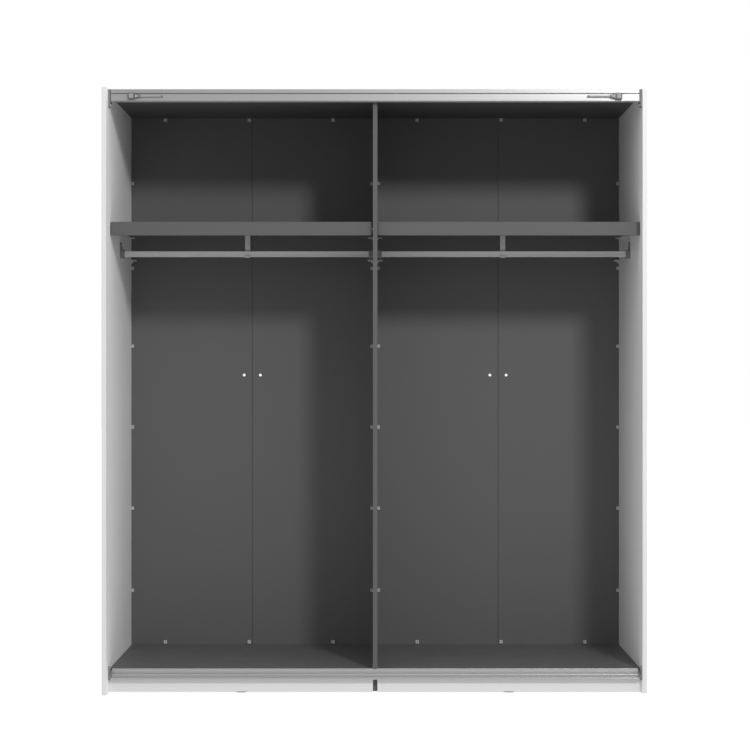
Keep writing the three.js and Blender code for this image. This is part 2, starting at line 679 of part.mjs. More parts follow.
// A block on the rail's face with a neck that flares from the cylinder's mouth to the block.
function damperHolder(sign) {
  const half = DAMPER_BLOCK_HEIGHT / 2;
  const mouth = DAMPER_MOUTH / 2;
  const blockInner = NECK_END + DAMPER_NECK_LENGTH;
  const y = [DAMPER_Y - DAMPER_THICKNESS / 2, DAMPER_Y + DAMPER_THICKNESS / 2];
  const blockX = [sign * blockInner, sign * DAMPER_BLOCK_OUTER].sort((a, b) => a - b);
  const body = extrude(roundedRectangle([DAMPER_Z - half, DAMPER_Z + half], blockX, 3), 'y', y, 0.5);
  const neckPoints = [
    [DAMPER_Z + mouth, sign * NECK_END],
    [DAMPER_Z + mouth, sign * (NECK_END + 5)],
    [DAMPER_Z + half - 2, sign * (blockInner + 2)],
    [DAMPER_Z - half + 2, sign * (blockInner + 2)],
    [DAMPER_Z - mouth, sign * (NECK_END + 5)],
    [DAMPER_Z - mouth, sign * NECK_END],
  ];
  const neck = extrude(outline(neckPoints), 'y', [y[0] + 0.8, y[1]]);
  const boreX = [sign * (NECK_END - 1), sign * (DAMPER_BLOCK_OUTER - BORE_CLOSED_END)];
  const bore = rod(PLUNGER_DIAMETER / 2 + GAP, boreX.sort((a, b) => a - b), 'x', [0, DAMPER_Y, DAMPER_Z]);
  return cut(join(body, neck), bore);
}

// The plunger: a rod with a round buffer head, mostly out of the cylinder at rest.
function damperPlunger(sign) {
  const r = PLUNGER_DIAMETER / 2;
  const head = NECK_END - PLUNGER_REACH;
  const inside = DAMPER_BLOCK_OUTER - BORE_CLOSED_END - 1 - PLUNGER_TRAVEL;
  const profile = [
    [0, head],
    [r - 0.4, head],
    [r + BUFFER_RISE, head + 0.7],
    [r + BUFFER_RISE, head + 5],
    [r, head + 5.5],
    [r, inside],
    [0, inside],
  ];
  const g = turned(profile, 'x', [0, DAMPER_Y, DAMPER_Z], 20);
  return sign < 0 ? g.rotateZ(Math.PI).translate(0, 2 * DAMPER_Y, 0) : g;
}

for (const [side, sign] of Object.entries(SIDES)) {
  add(`damper_holder_${side}`, damperHolder(sign), darkPlastic);
  add(`damper_plunger_${side}`, damperPlunger(sign), zinc);
}

// ---------------------------------------------------------------- feet

const FOOT_RADIUS = FOOT_DIAMETER / 2;
const PAD_HEIGHT = 3.6;
const STUD_RADIUS = 4;
const STUD_TOP = 56;
const SOCKET_WIDTH = 30;
const FOOT_Y = PLINTH_FRONT + BOARD + SOCKET_WIDTH / 2;

for (const [side, sign] of Object.entries(SIDES)) {
  const x = sign * FOOT_X;
  const socketY = [PLINTH_FRONT + BOARD + GAP, PLINTH_FRONT + BOARD + SOCKET_WIDTH];
  const socket = cut(
    extrude(
      roundedRectangle([x - SOCKET_WIDTH / 2, x + SOCKET_WIDTH / 2], socketY, 4),
      'z',
      [10, FLOOR_BOTTOM - GAP],
    ),
    rod(STUD_RADIUS + GAP, [0, FLOOR_TOP], 'z', [x, FOOT_Y, 0]),
  );
  add(`foot_socket_${side}`, socket, darkPlastic);

  // A round pad on a threaded stud, which is turned to raise or lower the floor.
  const foot = turned([
    [0, 0],
    [FOOT_RADIUS - 1.2, 0],
    [FOOT_RADIUS, 1.2],
    [FOOT_RADIUS, PAD_HEIGHT - 1],
    [FOOT_RADIUS - 1, PAD_HEIGHT],
    [STUD_RADIUS, PAD_HEIGHT],
    [STUD_RADIUS, STUD_TOP - 1],
    [STUD_RADIUS - 1, STUD_TOP],
    [0, STUD_TOP],
  ], 'z', [x, FOOT_Y, 0], 32);
  add(`levelling_foot_${side}`, foot, blackPlastic);
}

// Nail-on glides under the standing boards.
const GLIDE_RADIUS = 7;
const glide = (x, y) => turned([
  [0, 0],
  [GLIDE_RADIUS - 1, 0],
  [GLIDE_RADIUS, 1],
  [GLIDE_RADIUS, GLIDE_HEIGHT - GAP],
  [0, GLIDE_HEIGHT - GAP],
], 'z', [x, y, 0], 20);

const GLIDE_END_INSET = 40;
const standing = [
  ['side_left', -INNER - HALF_BOARD, LEFT_FRONT],
  ['partition', 0, FLOOR_FRONT],
  ['side_right', INNER + HALF_BOARD, RIGHT_FRONT],
];
for (const [place, x, front] of standing) {
  add(`glide_${place}_front`, glide(x, front + GLIDE_END_INSET), blackPlastic);
  add(`glide_${place}_rear`, glide(x, REAR - GLIDE_END_INSET), blackPlastic);
}

export default wardrobe;
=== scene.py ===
import json
import math

import bmesh
import bpy
from mathutils import Matrix, Vector


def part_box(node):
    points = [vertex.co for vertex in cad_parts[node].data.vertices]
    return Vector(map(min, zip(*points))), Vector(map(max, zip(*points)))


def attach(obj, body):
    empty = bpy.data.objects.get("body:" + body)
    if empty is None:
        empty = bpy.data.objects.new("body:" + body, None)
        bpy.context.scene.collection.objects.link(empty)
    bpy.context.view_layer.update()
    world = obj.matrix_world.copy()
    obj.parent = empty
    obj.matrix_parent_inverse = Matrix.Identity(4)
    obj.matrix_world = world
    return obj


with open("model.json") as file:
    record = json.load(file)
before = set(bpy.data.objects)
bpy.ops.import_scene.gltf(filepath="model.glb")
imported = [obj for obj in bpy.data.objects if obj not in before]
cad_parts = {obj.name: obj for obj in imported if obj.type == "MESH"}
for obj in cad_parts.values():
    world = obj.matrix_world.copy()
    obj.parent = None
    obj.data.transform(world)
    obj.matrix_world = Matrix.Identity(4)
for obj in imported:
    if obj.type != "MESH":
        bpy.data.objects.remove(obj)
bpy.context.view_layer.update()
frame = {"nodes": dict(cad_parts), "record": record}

# The carcass of a two-compartment sliding door wardrobe, in metres, front towards -Y.
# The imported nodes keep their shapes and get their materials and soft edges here. Screws, clips,
# cover caps and other small fittings are made as new pieces. There are no doors, as in the photo.

NODES = frame["nodes"]
CARCASS = "carcass"
SIDES = {"left": -1, "right": 1}


def low(node):
    return Vector(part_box(node)[0])


def high(node):
    return Vector(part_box(node)[1])


INNER = low("side_panel_right").x
PARTITION_FACE = high("centre_partition").x
BACK_PLANE = low("back_panel_left_outer").y
BACK_REAR = high("back_panel_left_outer").y
CEILING = low("top_panel_left").z
FLOOR_TOP = high("floor_panel_left").z
REAR = high("side_panel_left").y

# ------------------------------------------------------------------ camera, light and stage

LENS = 85
SENSOR = 36
CAMERA_AT = (0, -6.131, 1.05)
CAMERA_SHIFT = (-0.0002, 0.00266)

KEY_AT = Vector((1.9, -4.6, 3.77))
KEY_AIM = Vector((0, 0, 1))
KEY_SIZE = 0.72
KEY_POWER = 122
# The dome's strength straight ahead, and how much more it has straight to each side and straight
# above or below.
DOME_STRENGTH = 0.38
DOME_SIDES = 0.7
DOME_POLES = 0.52
STAGE_HALF = 30
STAGE_TONE = 0.5
STAGE_GLOW = 0.78


def link(obj):
    bpy.context.scene.collection.objects.link(obj)
    return obj


def make_camera():
    """A level camera in front of the wardrobe, a little above its middle."""
    data = bpy.data.cameras.new("camera")
    data.lens = LENS
    data.sensor_width = SENSOR
    data.shift_x, data.shift_y = CAMERA_SHIFT
    camera = link(bpy.data.objects.new("camera", data))
    camera.location = CAMERA_AT
    camera.rotation_euler = (math.pi / 2, 0, 0)
    bpy.context.scene.camera = camera


def make_key_light():
    """One soft lamp, high on the right."""
    data = bpy.data.lights.new("key", "AREA")
    data.shape = "DISK"
    data.size = KEY_SIZE
    data.energy = KEY_POWER
    lamp = link(bpy.data.objects.new("key", data))
    lamp.location = KEY_AT
    lamp.rotation_euler = (KEY_AIM - KEY_AT).to_track_quat("-Z", "Y").to_euler()


def make_world():
    """A white surround for the eye, and for the light a dome that is dimmer straight ahead."""
    world = bpy.data.worlds.new("studio")
    bpy.context.scene.world = world
    world.use_nodes = True
    nodes = world.node_tree.nodes
    links = world.node_tree.links
    nodes.clear()
    place = nodes.new("ShaderNodeTexCoord")
    axes = nodes.new("ShaderNodeSeparateXYZ")
    links.new(place.outputs["Generated"], axes.inputs[0])
    shares = []
    for axis, gain in (("X", DOME_SIDES), ("Z", DOME_POLES)):
        square = nodes.new("ShaderNodeMath")
        square.operation = "MULTIPLY"
        links.new(axes.outputs[axis], square.inputs[0])
        links.new(axes.outputs[axis], square.inputs[1])
        share = nodes.new("ShaderNodeMath")
        share.operation = "MULTIPLY"
        share.inputs[1].default_value = gain
        links.new(square.outputs[0], share.inputs[0])
        shares.append(share)
    outer = nodes.new("ShaderNodeMath")
    links.new(shares[0].outputs[0], outer.inputs[0])
    links.new(shares[1].outputs[0], outer.inputs[1])
    total = nodes.new("ShaderNodeMath")
    total.inputs[1].default_value = DOME_STRENGTH
    links.new(outer.outputs[0], total.inputs[0])
    dome = nodes.new("ShaderNodeBackground")
    dome.inputs["Color"].default_value = (1, 1, 1, 1)
    links.new(total.outputs[0], dome.inputs["Strength"])
    surround = nodes.new("ShaderNodeBackground")
    surround.inputs["Color"].default_value = (1, 1, 1, 1)
    rays = nodes.new("ShaderNodeLightPath")
    choice = nodes.new("ShaderNodeMixShader")
    links.new(rays.outputs["Is Camera Ray"], choice.inputs["Fac"])
    links.new(dome.outputs[0], choice.inputs[1])
    links.new(surround.outputs[0], choice.inputs[2])
    end = nodes.new("ShaderNodeOutputWorld")
    links.new(choice.outputs[0], end.inputs["Surface"])


def make_floor():
    """A white floor that is open from below, and that leaves the ground's light to the dome."""
    half = STAGE_HALF
    corners = [(-half, -half, 0), (half, -half, 0), (half, half, 0), (-half, half, 0)]
    mesh = bpy.data.meshes.new("floor")
    mesh.from_pydata(corners, [], [(0, 1, 2, 3)])
    floor = link(bpy.data.objects.new("floor", mesh))
    floor.visible_diffuse = False
    floor.visible_glossy = False
    floor.visible_shadow = False
    paper = bpy.data.materials.new("stage_paper")
    paper.use_nodes = True
    nodes = paper.node_tree.nodes
    links = paper.node_tree.links
    shader = nodes["Principled BSDF"]
    shader.inputs["Base Color"].default_value = (STAGE_TONE, STAGE_TONE, STAGE_TONE, 1)
    shader.inputs["Roughness"].default_value = 1
    shader.inputs["Specular IOR Level"].default_value = 0
    shader.inputs["Emission Color"].default_value = (1, 1, 1, 1)
    shader.inputs["Emission Strength"].default_value = STAGE_GLOW
    facing = nodes.new("ShaderNodeNewGeometry")
    clear = nodes.new("ShaderNodeBsdfTransparent")
    choice = nodes.new("ShaderNodeMixShader")
    links.new(facing.outputs["Backfacing"], choice.inputs["Fac"])
    links.new(shader.outputs[0], choice.inputs[1])
    links.new(clear.outputs[0], choice.inputs[2])
    links.new(choice.outputs[0], nodes["Material Output"].inputs["Surface"])
    mesh.materials.append(paper)


bpy.context.scene.view_settings.view_transform = "Standard"
make_camera()
make_key_light()
make_world()
make_floor()

# ------------------------------------------------------------------ materials


EVEN = (1, 1, 1)
ALONG_X = (0.0015, 1, 1)
NOISE_LOW = 0.3
NOISE_HIGH = 0.7
FRONT_SHARE = 0.7  # least share of a front face's normal that points towards -Y


class Paint:
    """A node material in the making: one Principled shader, fed from object coordinates."""

    def __init__(self, name, roughness, metallic=0.0, specular=0.5):
        self.material = bpy.data.materials.new(name)
        self.material.use_nodes = True
        self.tree = self.material.node_tree
        self.shader = self.tree.nodes["Principled BSDF"]
        self.shader.inputs["Roughness"].default_value = roughness
        self.shader.inputs["Metallic"].default_value = metallic
        self.shader.inputs["Specular IOR Level"].default_value = specular
        self.place = self.tree.nodes.new("ShaderNodeTexCoord").outputs["Object"]

    def wire(self, source, target):
        self.tree.links.new(source, target)

    def node(self, kind, inputs=None, **settings):
        """A new node with its settings. An input is a value or another node's output."""
        node = self.tree.nodes.new(kind)
        for key, value in settings.items():
            setattr(node, key, value)
        for key, value in (inputs or {}).items():
            if isinstance(value, bpy.types.NodeSocket):
                self.wire(value, node.inputs[key])
            else:
                node.inputs[key].default_value = value
        return node

    def stretched(self, stretch):
        """The place on the object, scaled by axis. A small scale makes a pattern long."""
        if stretch == EVEN:
            return self.place
        return self.node("ShaderNodeMapping", {"Vector": self.place, "Scale": stretch}).outputs[0]

    def noise(self, scale, detail, stretch=EVEN):
        inputs = {"Vector": self.stretched(stretch), "Scale": scale, "Detail": detail}
        return self.node("ShaderNodeTexNoise", inputs).outputs["Fac"]

    def cells(self, scale, stretch):
        """A random grey for each grain of a packed pattern."""
        inputs = {"Vector": self.stretched(stretch), "Scale": scale}
        colour = self.node("ShaderNodeTexVoronoi", inputs).outputs["Color"]
        return self.node("ShaderNodeSeparateColor", {"Color": colour}).outputs["Red"]

    def remap(self, value, to_low, to_high, from_low=NOISE_LOW, from_high=NOISE_HIGH):
        """Moves a number from one range to another, by default from the range of a noise."""
        inputs = {
            "Value": value,
            "From Min": from_low,
            "From Max": from_high,
            "To Min": to_low,
            "To Max": to_high,
        }
        return self.node("ShaderNodeMapRange", inputs).outputs["Result"]

    def mix(self, factor, first, second):
        """Two colours, mixed by a factor. The sockets are a colour mix's factor, A and B."""
        inputs = {0: factor, 6: first, 7: second}
        return self.node("ShaderNodeMix", inputs, data_type="RGBA").outputs[2]

    def calculate(self, operation, first, second):
        """The outcome of a math node on two numbers."""
        return self.node("ShaderNodeMath", {0: first, 1: second}, operation=operation).outputs[0]

    def along(self, vector, axis):
        return self.node("ShaderNodeSeparateXYZ", {"Vector": vector}).outputs[axis]

    def beyond(self, axis, limit):
        """1 where the surface lies past a place on an axis, else 0."""
        return self.calculate("GREATER_THAN", self.along(self.place, axis), limit)

    def short_of(self, axis, limit):
        """1 where the surface lies before a place on an axis, else 0."""
        return self.calculate("LESS_THAN", self.along(self.place, axis), limit)

    def facing_front(self):
        """1 on faces that look towards -Y, else 0."""
        normal = self.node("ShaderNodeNewGeometry").outputs["Normal"]
        return self.calculate("LESS_THAN", self.along(normal, "Y"), -FRONT_SHARE)

    def colour(self, output):
        self.wire(output, self.shader.inputs["Base Color"])

    def gloss(self, output):
        self.wire(output, self.shader.inputs["Roughness"])

    def relief(self, height, depth, strength):
        """Adds a bump, over any that is there."""
        inputs = {"Height": height, "Distance": depth, "Strength": strength}
        bump = self.node("ShaderNodeBump", inputs)
        target = self.shader.inputs["Normal"]
        if target.is_linked:
            self.wire(target.links[0].from_socket, bump.inputs["Normal"])
        self.wire(bump.outputs[0], target)


def grey(value):
    return (value, value, value, 1)


RAW_EDGE = 0.0004  # depth from a board's rear or lower edge over which its core shows
RAW_ROUGHNESS = (0.9, 0.9, 0.9, 1)
FLAKE_DARK = (0.36, 0.24, 0.135, 1)
FLAKE_LIGHT = (0.55, 0.41, 0.26, 1)
FLAKE_DUST = (0.22, 0.14, 0.08, 1)
FIBRE_DARK = (0.2, 0.115, 0.058, 1)
FIBRE_LIGHT = (0.36, 0.225, 0.125, 1)
FIBRE_THREAD = (0.13, 0.07, 0.035, 1)
LACQUER_TONE = 0.124


def chipboard(paint):
    """The pale brown, coarse face of a sawn chipboard edge."""
    flakes = paint.cells(420, (1, 1, 1.6))
    dust = paint.noise(1800, 3)
    wood = paint.mix(paint.remap(flakes, 0, 1, 0, 1), FLAKE_DARK, FLAKE_LIGHT)
    return paint.mix(paint.remap(dust, 0, 0.45), wood, FLAKE_DUST)


def melamine(name, tone, front_shade_tone, roughness, speckle, pores):
    """Faced chipboard: a pressed, faintly grained surface, whose front faces are painted darker
    as painted shade.

    The boards' core shows on their rear edges and, where they stand, on their lower edges.
    """
    paint = Paint(name, roughness, specular=0.15)
    fine = paint.remap(paint.noise(2600, 2), 0, 1)
    base = paint.mix(fine, grey(tone * (1 - speckle)), grey(tone * (1 + speckle)))
    soft = paint.mix(paint.remap(paint.noise(3.5, 3), 0, 0.5), base, grey(tone))
    behind = paint.beyond("Y", REAR - RAW_EDGE)
    under = paint.short_of("Z", low("side_panel_left").z + RAW_EDGE)
    raw = paint.calculate("MAXIMUM", behind, under)
    # Painted shade: faces that look to the front take a darker tone than the rest of the board.
    faced_front_shaded = paint.mix(paint.facing_front(), soft, grey(front_shade_tone))
    paint.colour(paint.mix(raw, faced_front_shaded, chipboard(paint)))
    rub = paint.remap(paint.noise(9, 4), roughness - 0.04, roughness + 0.06)
    paint.gloss(paint.mix(raw, rub, RAW_ROUGHNESS))
    paint.relief(paint.noise(pores, 3), 0.00008, 0.35)
    return paint.material


def hardboard():
    """Thin back board: matt graphite lacquer in front, raw pressed fibre behind."""
    paint = Paint("graphite_hardboard", 0.6, specular=0.4)
    fleck = paint.remap(paint.noise(1500, 3), 0, 1)
    lacquer = paint.mix(fleck, grey(LACQUER_TONE * 0.93), grey(LACQUER_TONE * 1.07))
    cloud = paint.remap(paint.noise(2.2, 3), 0, 0.35)
    lacquer = paint.mix(cloud, lacquer, grey(LACQUER_TONE * 0.96))
    fibre = paint.mix(paint.remap(paint.noise(260, 6), 0, 1), FIBRE_DARK, FIBRE_LIGHT)
    threads = paint.remap(paint.noise(700, 4, (1, 1, 0.25)), 0, 0.5)
    fibre = paint.mix(threads, fibre, FIBRE_THREAD)
    raw = paint.beyond("Y", BACK_REAR - RAW_EDGE)
    paint.colour(paint.mix(raw, lacquer, fibre))
    paint.relief(paint.noise(900, 4), 0.00012, 0.4)
    return paint.material


def metal(name, tone, metallic, roughness, painted_light_part):
    """Anodised metal with fine lines along X.

    The painted light part is a height, and a lighter tone for the surface below that height, a
    painted highlight.
    """
    height, painted_light_tone = painted_light_part
    paint = Paint(name, roughness, metallic=metallic)
    lines = paint.noise(240, 4, ALONG_X)
    # Painted highlight: the surface below the height takes the lighter tone.
    tones = paint.mix(paint.short_of("Z", height), grey(tone), grey(painted_light_tone))
    streaks = paint.mix(paint.remap(lines, 0, 1), grey(0.95), grey(1.03))
    inputs = {0: tones, 1: streaks}
    paint.colour(paint.node("ShaderNodeVectorMath", inputs, operation="MULTIPLY").outputs[0])
    paint.gloss(paint.remap(paint.noise(240, 2, ALONG_X), roughness - 0.03, roughness + 0.04))
    paint.relief(lines, 0.00003, 0.3)
    return paint.material


def moulded(name, tone, roughness):
    """Moulded plastic with a fine eroded texture."""
    paint = Paint(name, roughness)
    cloud = paint.remap(paint.noise(60, 3), 0, 1)
    paint.colour(paint.mix(cloud, grey(tone * 0.92), grey(tone * 1.08)))
    paint.gloss(paint.remap(paint.noise(150, 3), roughness - 0.06, roughness + 0.08))
    paint.relief(paint.noise(3200, 2), 0.00006, 0.5)
    return paint.material


def cast(name, tone, roughness):
    """Die-cast metal under a thin silver-grey lacquer."""
    paint = Paint(name, roughness, metallic=0.5)
    cloud = paint.remap(paint.noise(90, 4), 0, 1)
    paint.colour(paint.mix(cloud, grey(tone * 0.93), grey(tone * 1.05)))
    paint.gloss(paint.remap(paint.noise(400, 3), roughness - 0.06, roughness + 0.08))
    paint.relief(paint.noise(1400, 3), 0.00005, 0.5)
    return paint.material


# Two painted highlights, as a height and a lighter tone below it. Of the two rails, only the
# guide rail is under the first height, which paints it lighter than the running rail in place of
# the bright highlights along its ribs, and the second is the top of the lip along a clothes
# rail's foot, painted bright as a highlight.
GUIDE_RAIL_HIGHLIGHT = (0.2, 0.59)
# Painted highlight along the lip of a clothes rail's foot.
TUBE_FOOT_HIGHLIGHT = (low("clothes_rail_left").z + 0.0045, 1.0)
MATERIALS = {
    # For a board, the third number is the darker tone of its front faces, a painted shade.
    "white_board": melamine("white_board", 0.93, 0.78, 0.42, 0.006, 1300),
    "graphite_board": melamine("graphite_board", 0.128, 0.118, 0.5, 0.06, 1700),
    "graphite_hardboard": hardboard(),
    "anodised_rail": metal("anodised_rail", 0.47, 0.65, 0.36, GUIDE_RAIL_HIGHLIGHT),
    "clothes_rail_tube": metal("clothes_rail_tube", 0.79, 0.3, 0.36, TUBE_FOOT_HIGHLIGHT),
    "zinc_fitting": cast("zinc_fitting", 0.62, 0.4),
    "damper_housing": moulded("damper_housing", 0.12, 0.45),
    "damper_insert": moulded("damper_insert", 0.34, 0.45),
    "damper_rod": cast("damper_rod", 0.42, 0.4),
    "dark_fitting": moulded("dark_fitting", 0.22, 0.5),
    "clip_plastic": moulded("clip_plastic", 0.6, 0.45),
    "black_plastic": moulded("black_plastic", 0.02, 0.5),
}

# ------------------------------------------------------------------ edges and shading of nodes

SMOOTH_LIMIT = math.radians(50)
BEVEL_LIMIT = math.radians(55)
BEVEL_SEGMENTS = 2
WELD_DISTANCE = 0.00001


def smooth_by_angle():
    """A modifier's node group that shades smooth over every edge up to a limit."""
    group = bpy.data.node_groups.new("smooth_by_angle", "GeometryNodeTree")
    group.interface.new_socket("Geometry", in_out="INPUT", socket_type="NodeSocketGeometry")
    group.interface.new_socket("Geometry", in_out="OUTPUT", socket_type="NodeSocketGeometry")
    nodes = group.nodes
    start = nodes.new("NodeGroupInput")
    end = nodes.new("NodeGroupOutput")
    faces = nodes.new("GeometryNodeSetShadeSmooth")
    edges = nodes.new("GeometryNodeSetShadeSmooth")
    edges.domain = "EDGE"
    angle = nodes.new("GeometryNodeInputMeshEdgeAngle")
    gentle = nodes.new("FunctionNodeCompare")
    gentle.operation = "LESS_THAN"
    gentle.inputs[1].default_value = SMOOTH_LIMIT
    group.links.new(start.outputs[0], faces.inputs["Geometry"])
    group.links.new(faces.outputs[0], edges.inputs["Geometry"])
    group.links.new(angle.outputs["Unsigned Angle"], gentle.inputs[0])
    group.links.new(gentle.outputs[0], edges.inputs["Shade Smooth"])
    group.links.new(edges.outputs[0], end.inputs[0])
    return group


SMOOTHING = smooth_by_angle()

# How far the sharp edges of each kind of node are rounded, by the start of its name.
BEVELS = {
    "back_panel": 0.0003,
    "seam_strip": 0.0003,
    "top_running_rail": 0.00025,
    "bottom_guide_rail": 0.0002,
    "clothes_rail": 0.0003,
    "rail_socket": 0.0006,
    "rail_hanger": 0.0005,
    "top_rail_bracket": 0.0006,
    "guide_rail_bracket": 0.0006,
    "shelf_support": 0.0005,
    "corner_bracket": 0.0006,
    "damper_holder": 0.0005,
    "foot_socket": 0.0006,
}


def shade(obj):
    """Shades smooth, apart from sharp edges."""
    obj.modifiers.new("shading", "NODES").node_group = SMOOTHING
    weighted = obj.modifiers.new("normals", "WEIGHTED_NORMAL")
    weighted.keep_sharp = True


def bevel(obj, width):
    """Rounds sharp edges."""
    edges = obj.modifiers.new("edges", "BEVEL")
    edges.width = width
    edges.segments = BEVEL_SEGMENTS
    edges.limit_method = "ANGLE"
    edges.angle_limit = BEVEL_LIMIT


def dress(name, slot):
    """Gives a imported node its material, soft edges and shading."""
    obj = NODES[name]
    obj.data.materials.clear()
    obj.data.materials.append(MATERIALS[slot])
    if "custom_normal" in obj.data.attributes:
        obj.data.attributes.remove(obj.data.attributes["custom_normal"])
    weld = obj.modifiers.new("weld", "WELD")
    weld.merge_threshold = WELD_DISTANCE
    for start, width in BEVELS.items():
        if name.startswith(start):
            bevel(obj, width)
    shade(obj)


for part in frame["record"]["subparts"]:
    dress(part["node"], part["material_slot"])

# ------------------------------------------------------------------ lofted fittings

# Each outline gives a radius for an angle. All of them are taken at the same angles, which hold
# the corners of the square and of the plus sign.
QUADRANTS = (0, 90, 180, 270)
ARM_RATIO = 0.3  # half the width of a plus sign's arm, for an arm as long as 1
ARM_ANGLE = math.degrees(math.atan(ARM_RATIO))
STEPS = (0, ARM_ANGLE, (ARM_ANGLE + 45) / 2, 45, (135 - ARM_ANGLE) / 2, 90 - ARM_ANGLE)
ANGLES = [math.radians(quadrant + step) for quadrant in QUADRANTS for step in STEPS]
SQUARE_CORNER = 1.3  # radius of a square's cut corner, half a side being 1


def circle(angle):
    return 1


def cross(angle):
    """The radius of a plus sign's outline, whose arms are as long as 1."""
    turn = angle % (math.pi / 2)
    turn = min(turn, math.pi / 2 - turn)
    if math.tan(turn) <= ARM_RATIO + 1e-6:
        return 1 / math.cos(turn)
    return ARM_RATIO / math.sin(turn)


def square(angle):
    """The radius of a square's outline with its corners cut off, half a side being 1."""
    turn = angle % (math.pi / 2)
    turn = min(turn, math.pi / 2 - turn)
    return min(1 / math.cos(turn), SQUARE_CORNER)


def hexagon(angle):
    """The radius of a hexagon's outline, the distance to a side being 1."""
    turn = (angle + math.pi / 6) % (math.pi / 3) - math.pi / 6
    return 1 / math.cos(turn)


def closed_mesh(name, shape):
    bmesh.ops.recalc_face_normals(shape, faces=shape.faces)
    mesh = bpy.data.meshes.new(name)
    shape.to_mesh(mesh)
    shape.free()
    return mesh


def loft(name, rings):
    """A closed mesh through rings of (outline, radius, height), about local Z, in millimetres."""
    shape = bmesh.new()
    loops = []
    for outline, radius, height in rings:
        loop = []
        for angle in ANGLES:
            r = radius * outline(angle) / 1000
            point = (r * math.cos(angle), r * math.sin(angle), height / 1000)
            loop.append(shape.verts.new(point))
        loops.append(loop)
    for lower, upper in zip(loops, loops[1:]):
        for i in range(len(ANGLES)):
            j = (i + 1) % len(ANGLES)
            shape.faces.new((lower[i], lower[j], upper[j], upper[i]))
    shape.faces.new(reversed(loops[0]))
    shape.faces.new(loops[-1])
    return closed_mesh(name, shape)


SCREW = loft("screw", [
    (circle, 1.2, -2.0),
    (circle, 1.2, -0.1),
    (circle, 3.9, 0.0),
    (circle, 4.0, 0.5),
    (circle, 3.6, 1.3),
    (circle, 2.9, 1.8),
    (cross, 1.9, 2.0),
    (cross, 1.7, 0.9),
    (cross, 0.6, 0.2),
])
CLIP = loft("clip", [
    (square, 6.1, 0.0),
    (square, 6.1, 3.0),
    (square, 5.8, 3.9),
    (square, 5.2, 4.4),
    (circle, 3.7, 4.6),
    (circle, 3.0, 4.5),
    (circle, 2.5, 3.8),
    (circle, 2.4, 0.8),
    (circle, 1.9, 0.5),
])
PLATE = loft("plate", [
    (square, 5.7, -0.2),
    (square, 6.0, 0.0),
    (square, 6.0, 0.7),
    (square, 5.7, 1.0),
    (square, 5.1, 1.0),
    (square, 4.7, 0.7),
    (circle, 2.4, 0.75),
    (circle, 2.0, 0.5),
    (cross, 1.3, 0.5),
    (cross, 1.1, 0.1),
])
TIP = loft("tip", [
    (circle, 2.6, -0.5),
    (circle, 3.1, -0.3),
    (circle, 3.3, 0.3),
    (circle, 3.3, 4.0),
    (circle, 3.2, 4.4),
    (circle, 2.9, 4.6),
])
CAP = loft("cap", [
    (circle, 7.2, -0.2),
    (circle, 8.5, 0.0),
    (circle, 8.5, 0.6),
    (circle, 8.0, 1.2),
    (circle, 6.6, 1.4),
    (circle, 6.2, 1.2),
    (circle, 3.2, 1.1),
    (cross, 2.6, 1.1),
    (cross, 2.4, 0.6),
])
NAIL = loft("nail", [
    (circle, 0.8, -1.0),
    (circle, 2.2, 0.0),
    (circle, 2.3, 0.3),
    (circle, 1.8, 0.7),
    (circle, 0.7, 0.9),
])
NUT = loft("nut", [
    (circle, 4.4, 3.7),
    (circle, 6.4, 3.7),
    (hexagon, 6.6, 4.3),
    (hexagon, 6.6, 8.4),
    (circle, 6.4, 9.0),
    (circle, 4.4, 9.0),
    (circle, 4.4, 8.0),
])


FRONT = (0, -1, 0)
BACK = (0, 1, 0)
UP = (0, 0, 1)
DOWN = (0, 0, -1)


def fitting(name, mesh, slot, at, facing, body=CARCASS, scale=EVEN, soft=0.0):
    """A small piece whose local Z points along facing. It takes its finish from a slot.

    Soft is how far its sharp edges are rounded.
    """
    shared = mesh.copy()
    shared.name = name
    shared.materials.append(MATERIALS[slot])
    obj = link(bpy.data.objects.new(name, shared))
    turn = Vector(UP).rotation_difference(Vector(facing)).to_matrix().to_4x4()
    size = Matrix.Diagonal((*scale, 1))
    obj.matrix_world = Matrix.Translation(at) @ turn @ size
    if soft > 0:
        bevel(obj, soft)
    shade(obj)
    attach(obj, body)


# Wedge clips hold the back panels in their grooves, at even spaces above and below, and up
# every upright.
CLIP_HALF = 0.0062
CLIP_PITCH = 0.3045
CLIP_LIFT = 0.003  # between the floor and the lowest clips
CLIP_HEIGHTS = (0.276, 0.574, 0.868, 1.162, 1.445, 1.752)
CLIP_ROWS = {"top": CEILING - CLIP_HALF, "bottom": FLOOR_TOP + CLIP_HALF + CLIP_LIFT}
CLIP_NARROW = 0.78  # share of a clip's width that stands out of an upright's groove
CLIP_REACH = CLIP_HALF * CLIP_NARROW
CLIP_UPRIGHTS = {"side": INNER - CLIP_REACH, "partition": PARTITION_FACE + CLIP_REACH}
CLIP_Y = BACK_PLANE - 0.0001


def make_clip(name, x, z, width):
    fitting(name, CLIP, "clip_plastic", (x, CLIP_Y, z), FRONT, scale=(width, 1, 1))


def make_clips():
    for side, sign in SIDES.items():
        for i in range(3):
            x = sign * (i + 0.5) * CLIP_PITCH
            for row, z in CLIP_ROWS.items():
                make_clip(f"clip_{side}_{row}_{i + 1}", x, z, 1)
        for i, z in enumerate(CLIP_HEIGHTS):
            for upright, x in CLIP_UPRIGHTS.items():
                make_clip(f"clip_{side}_{upright}_{i + 1}", sign * x, z, CLIP_NARROW)


# The dampers: a lighter plate and web on each dark holder, and a tip on each plunger.
DAMPER_BLOCK_WIDTH = 0.021
DAMPER_NECK_LENGTH = 0.019
DAMPER_PLATE_SIZE = (1.15, 1.2, 1)
DAMPER_PLATE_LIFT = 0.001
WEB_MARGINS = (0.004, 0.002)  # from the neck's thin end and from the block
WEB_HALVES = (0.0016, 0.0056)  # half its height at these two ends
WEB_RISE = 0.0011
WEB_SINK = 0.0012
WEB_SOFT = 0.0003


